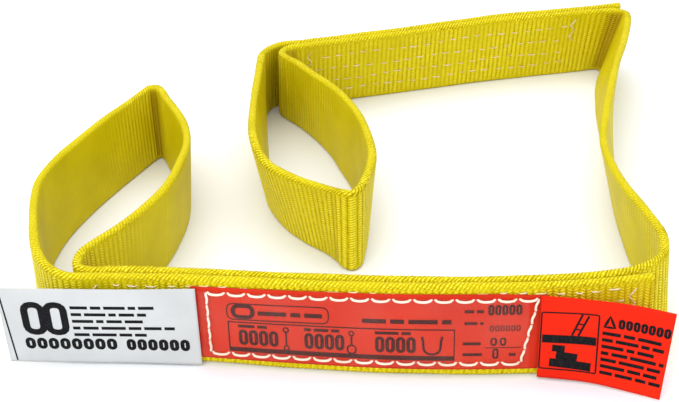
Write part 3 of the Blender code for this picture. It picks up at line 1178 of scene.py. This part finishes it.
def label_stitch_lines(route):
    """Long bowed stitches round the label, each dipping into it at both ends."""
    upper_left = (LABEL_END - 7.4, LABEL_HIGH - 2.9)
    upper_right = (LABEL_END - 164.5, LABEL_HIGH - 2.9)
    lower_right = (LABEL_END - 157.5, LABEL_LOW + 3.9)
    lower_left = (LABEL_END - 7.4, LABEL_LOW + 3.9)
    sides = [
        (upper_left, upper_right, 16, -0.75),
        (upper_right, lower_right, 5, -0.8),
        (lower_right, lower_left, 15, -0.75),
        (lower_left, upper_left, 5, 0.6),
    ]
    lines = []
    for start, end, count, bow in sides:
        start, end = Vector(start), Vector(end)
        for number in range(count):
            t = (number + np.linspace(0.08, 0.92, 9)) / count
            along = start.x + (end.x - start.x) * t
            high_up = start.y + (end.y - start.y) * t
            arch = np.sin(np.pi * np.linspace(0, 1, 9))
            if start.y == end.y:
                high_up = high_up + bow * arch
            else:
                along = along - bow * arch
            offset = LABEL_OFFSET + 1.1 - 1.3 * (1 - np.minimum(1, arch * 2.5))
            lines.append(route.place(along, high_up, offset))
    return lines


def build_label(route, red, film, ink, thread):
    """The rating label, its print, the clear film over it and the thick stitches round it."""
    corner = (1.0, -1.3)
    sheet = leaf_surface(
        "label_sheet", route, LABEL_START, LABEL_END, LABEL_LOW, LABEL_HIGH,
        LABEL_OFFSET, LABEL_THICKNESS, red, corner,
    )
    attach(sheet, "front_splice")
    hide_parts("rating_label")
    cover = leaf_surface(
        "label_film", route, LABEL_START + 9, LABEL_END - 3, LABEL_LOW + 1, LABEL_HIGH - 2.2,
        LABEL_OFFSET + 0.55, FILM_THICKNESS, film, corner,
    )
    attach(cover, "front_splice")
    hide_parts("label_cover_film")
    print_piece = printed("label_print", label_marks(), label_surface(route), 0.2, 0.06, ink)
    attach(print_piece, "front_splice")
    lines = label_stitch_lines(route)
    stitches = joined_tubes("label_stitches", lines, LABEL_THREAD_RADIUS * MM, thread)
    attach(stitches, "front_splice")
    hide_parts("label_stitch_thread")


def build_leaf(name, node, controls, low, high, corner, marks, side, material, ink, mirrored):
    """The flap or the tag, printed on its left side for 1 and on its right side for -1.

    A mirrored leaf's print is read from its free end.
    """
    route = Route(controls)
    start = 0.5
    end = route.length
    piece = leaf_surface(name, route, start, end, low, high, 0, LEAF_THICKNESS, material, corner)
    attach(piece, node)
    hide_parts(node)

    def surface(a, b, offset):
        along = end - a if mirrored else a
        return route.place(along, low + b, side * (LEAF_THICKNESS / 2 + offset))[0]

    print_piece = printed(name + "_print", marks, surface, 0.03, 0.05, ink)
    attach(print_piece, node)


# ---------------------------------------------------------------- the studio

def area_light(name, place, aim, size, power, colour=(1.0, 1.0, 1.0)):
    light = bpy.data.lights.new(name, "AREA")
    light.shape = "RECTANGLE"
    light.size, light.size_y = size
    light.energy = power
    light.color = colour
    lamp = bpy.data.objects.new(name, light)
    bpy.context.scene.collection.objects.link(lamp)
    lamp.location = place
    lamp.rotation_euler = (Vector(aim) - Vector(place)).to_track_quat("-Z", "Y").to_euler()


def build_studio():
    bpy.ops.mesh.primitive_plane_add(size=8.0)
    floor = bpy.context.object
    floor.name = "floor"
    floor.data.materials.append(floor_material())
    area_light("top_light", (-0.1, 0.15, 1.5), (0, 0, 0), (1.8, 1.6), 15)
    area_light("front_light", (-0.5, -1.3, 0.9), (0, -0.1, 0.02), (1.2, 0.8), 8)
    world = bpy.data.worlds.new("studio")
    world.use_nodes = True
    background = world.node_tree.nodes["Background"]
    background.inputs["Color"].default_value = (1.0, 1.0, 1.0, 1.0)
    background.inputs["Strength"].default_value = 0.94
    bpy.context.scene.world = world
    bpy.context.scene.view_settings.view_transform = "Standard"


def build_camera():
    pitch = math.radians(CAMERA_PITCH)
    roll = math.radians(CAMERA_ROLL)
    forward = Vector((0, math.cos(pitch), -math.sin(pitch)))
    level = Vector((1, 0, 0))
    below = forward.cross(level)
    right = level * math.cos(roll) + below * math.sin(roll)
    above = right.cross(forward)
    camera = bpy.data.cameras.new("camera")
    camera.lens = CAMERA_LENS
    camera.sensor_width = 36.0
    camera.clip_start = 0.02
    holder = bpy.data.objects.new("camera", camera)
    bpy.context.scene.collection.objects.link(holder)
    place = Vector(CAMERA_PLACE) - Vector((*FOOTPRINT_CENTRE, 0))
    turned = Matrix((right, above, -forward)).transposed().to_4x4()
    holder.matrix_world = Matrix.Translation(place * MM) @ turned
    bpy.context.scene.camera = holder


def main():
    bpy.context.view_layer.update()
    route, starts = webbing_route()
    yellow = webbing_material()
    cream = thread_material()
    faded = faded_thread_material()
    red = vinyl_material("red vinyl", (0.52, 0.02, 0.004), (0.6, 0.03, 0.008), 0.5)
    bright_red = vinyl_material("bright red vinyl", (0.68, 0.012, 0.0), (0.78, 0.018, 0.0), 0.55)
    white = vinyl_material("white tag sheet", (0.53, 0.545, 0.54), (0.6, 0.615, 0.61), 0.5)
    ink = ink_material("black ink", (0.004, 0.004, 0.005))
    maroon = ink_material("ink under film", (0.03, 0.003, 0.003))
    build_webbing(route, starts, yellow)
    build_splice_threads(route, starts, faded)
    build_label(route, red, film_material(), maroon, cream)
    build_leaf(
        "flap_sheet", "warning_flap", FLAP_ROUTE, 1.5, 46.0, (0.0, 1.4), flap_marks(), -1,
        bright_red, ink, False,
    )
    build_leaf(
        "tag_sheet", "info_tag", TAG_ROUTE, 1.0, 47.0, (0.0, 0.0), tag_marks(), 1,
        white, ink, True,
    )
    build_studio()
    build_camera()


main()
